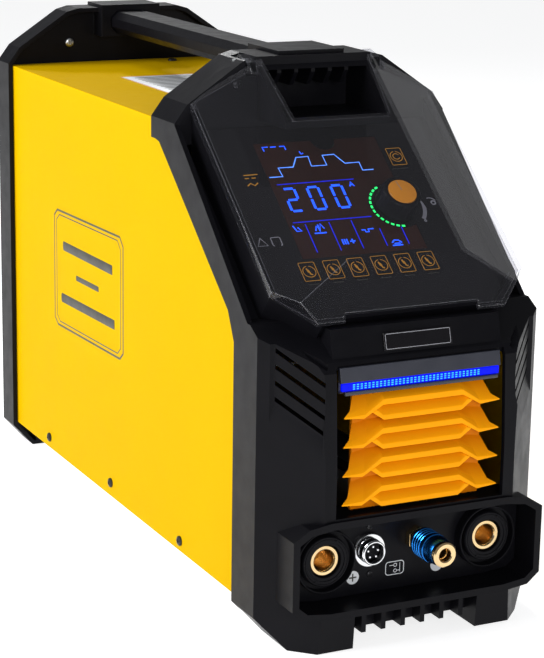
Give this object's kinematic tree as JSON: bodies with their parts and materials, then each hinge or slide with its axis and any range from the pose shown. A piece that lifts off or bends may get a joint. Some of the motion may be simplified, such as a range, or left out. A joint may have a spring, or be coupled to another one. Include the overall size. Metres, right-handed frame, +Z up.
{
  "type": "tig welding machine",
  "caption": "Portable inverter welding machine: sheet case between moulded bezels, sloped panel under a hinged smoked cover, recessed welding sockets, top carrying bar.",
  "frame": {"origin": "middle of the footprint on the ground", "axes": "+Z up, the front with the panel faces -Y, +X to the right of someone facing the front"},
  "size_m": [0.198, 0.536, 0.351],
  "materials": {
    "black_plastic": "fine grained moulded black",
    "yellow_cover": "satin powder coat, signal yellow",
    "zinc_steel": "zinc plated",
    "smoked_cover": "smoked clear plastic",
    "fascia_gloss": "glossy black film",
    "display_glass": "dark display filter",
    "circuit_board": "green solder mask",
    "knob_orange": "satin orange",
    "grey_plastic": "satin grey",
    "light_blue": "clear blue light guide",
    "louvre_orange": "satin yellow-orange",
    "brass": "turned",
    "chrome_plate": "polished",
    "blue_anodised": "blue anodised",
    "aluminium": "extruded",
    "ferrite": "sintered",
    "copper_winding": "enamelled winding",
    "coil_former": "cream moulding",
    "hose_rubber": "matt black hose",
    "capacitor_sleeve": "shrink sleeve"
  },
  "bodies": {
    "case": {"front_bezel": "black_plastic", "rear_bezel": "black_plastic", "handle_bar": "black_plastic", "connector_panel": "black_plastic", "socket_left_body": "black_plastic", "socket_right_body": "black_plastic", "fan_frame": "black_plastic", "power_switch_body": "black_plastic", "cable_gland": "black_plastic", "cable_gland_nut": "black_plastic", "torch_connector_insert": "black_plastic", "body_cover": "yellow_cover", "base_pan": "zinc_steel", "divider_plate": "zinc_steel", "handle_bolt_front": "zinc_steel", "handle_bolt_rear": "zinc_steel", "cover_hinge_pin": "zinc_steel", "encoder_body": "zinc_steel", "solenoid_valve": "zinc_steel", "control_fascia": "fascia_gloss", "name_plate": "fascia_gloss", "display_window": "display_glass", "display_module": "circuit_board", "control_board": "circuit_board", "power_board": "circuit_board", "light_bar_holder": "grey_plastic", "light_bar": "light_blue", "front_louvre": "louvre_orange", "socket_left_contact": "brass", "socket_right_contact": "brass", "gas_coupler_body": "brass", "gas_coupler_nut": "brass", "gas_inlet": "brass", "torch_connector_shell": "chrome_plate", "fan_guard": "chrome_plate", "heatsink_left": "aluminium", "heatsink_right": "aluminium", "transformer_core": "ferrite", "transformer_coil": "copper_winding", "output_choke": "copper_winding", "hf_coil": "coil_former", "gas_hose": "hose_rubber", "capacitor_left": "capacitor_sleeve", "capacitor_right": "capacitor_sleeve"},
    "cover": {"panel_cover": "smoked_cover"},
    "encoder_push": {"encoder_plunger": "zinc_steel"},
    "knob": {"encoder_shaft": "zinc_steel", "control_knob": "black_plastic", "knob_cap": "knob_orange"},
    "coupler_sleeve": {"gas_coupler_sleeve": "blue_anodised"},
    "fan": {"fan_rotor": "black_plastic"},
    "rocker": {"power_switch_rocker": "grey_plastic"},
    "key_1": {"key_1": "fascia_gloss"},
    "key_2": {"key_2": "fascia_gloss"},
    "key_3": {"key_3": "fascia_gloss"},
    "key_4": {"key_4": "fascia_gloss"},
    "key_5": {"key_5": "fascia_gloss"},
    "key_6": {"key_6": "fascia_gloss"},
    "key_7": {"key_7": "fascia_gloss"}
  },
  "joints": [
    {"name": "cover_hinge", "type": "hinge", "parent": "case", "child": "cover", "pos_m": [0, -0.08166, 0.34399], "axis": [-1, 0, 0], "range_deg": [0, 95]},
    {"name": "knob_push", "type": "slide", "parent": "case", "child": "encoder_push", "axis": [0, 0.632, -0.7749], "range_m": [0, 0.0005], "stiffness_N_per_m": 4000, "springref_m": -0.0005},
    {"name": "knob_turn", "type": "hinge", "parent": "encoder_push", "child": "knob", "pos_m": [0.0305, -0.15528, 0.25943], "axis": [0, -0.632, 0.7749], "continuous": true},
    {"name": "coupler_release", "type": "slide", "parent": "case", "child": "coupler_sleeve", "axis": [0, 1, 0], "range_m": [0, 0.003], "stiffness_N_per_m": 2500, "springref_m": -0.002},
    {"name": "fan_spin", "type": "hinge", "parent": "case", "child": "fan", "pos_m": [0, 0.2212, 0.185], "axis": [0, 1, 0], "continuous": true},
    {"name": "power_rocker", "type": "hinge", "parent": "case", "child": "rocker", "pos_m": [0.052, 0.236, 0.284], "axis": [-1, 0, 0], "range_deg": [0, 20]},
    {"name": "key_1_press", "type": "slide", "parent": "case", "child": "key_1", "axis": [0, 0.632, -0.7749], "range_m": [0, 0.0006], "stiffness_N_per_m": 2500, "springref_m": -0.0004},
    {"name": "key_2_press", "type": "slide", "parent": "case", "child": "key_2", "axis": [0, 0.632, -0.7749], "range_m": [0, 0.0006], "stiffness_N_per_m": 2500, "springref_m": -0.0004},
    {"name": "key_3_press", "type": "slide", "parent": "case", "child": "key_3", "axis": [0, 0.632, -0.7749], "range_m": [0, 0.0006], "stiffness_N_per_m": 2500, "springref_m": -0.0004},
    {"name": "key_4_press", "type": "slide", "parent": "case", "child": "key_4", "axis": [0, 0.632, -0.7749], "range_m": [0, 0.0006], "stiffness_N_per_m": 2500, "springref_m": -0.0004},
    {"name": "key_5_press", "type": "slide", "parent": "case", "child": "key_5", "axis": [0, 0.632, -0.7749], "range_m": [0, 0.0006], "stiffness_N_per_m": 2500, "springref_m": -0.0004},
    {"name": "key_6_press", "type": "slide", "parent": "case", "child": "key_6", "axis": [0, 0.632, -0.7749], "range_m": [0, 0.0006], "stiffness_N_per_m": 2500, "springref_m": -0.0004},
    {"name": "key_7_press", "type": "slide", "parent": "case", "child": "key_7", "axis": [0, 0.632, -0.7749], "range_m": [0, 0.0006], "stiffness_N_per_m": 2500, "springref_m": -0.0004}
  ]
}
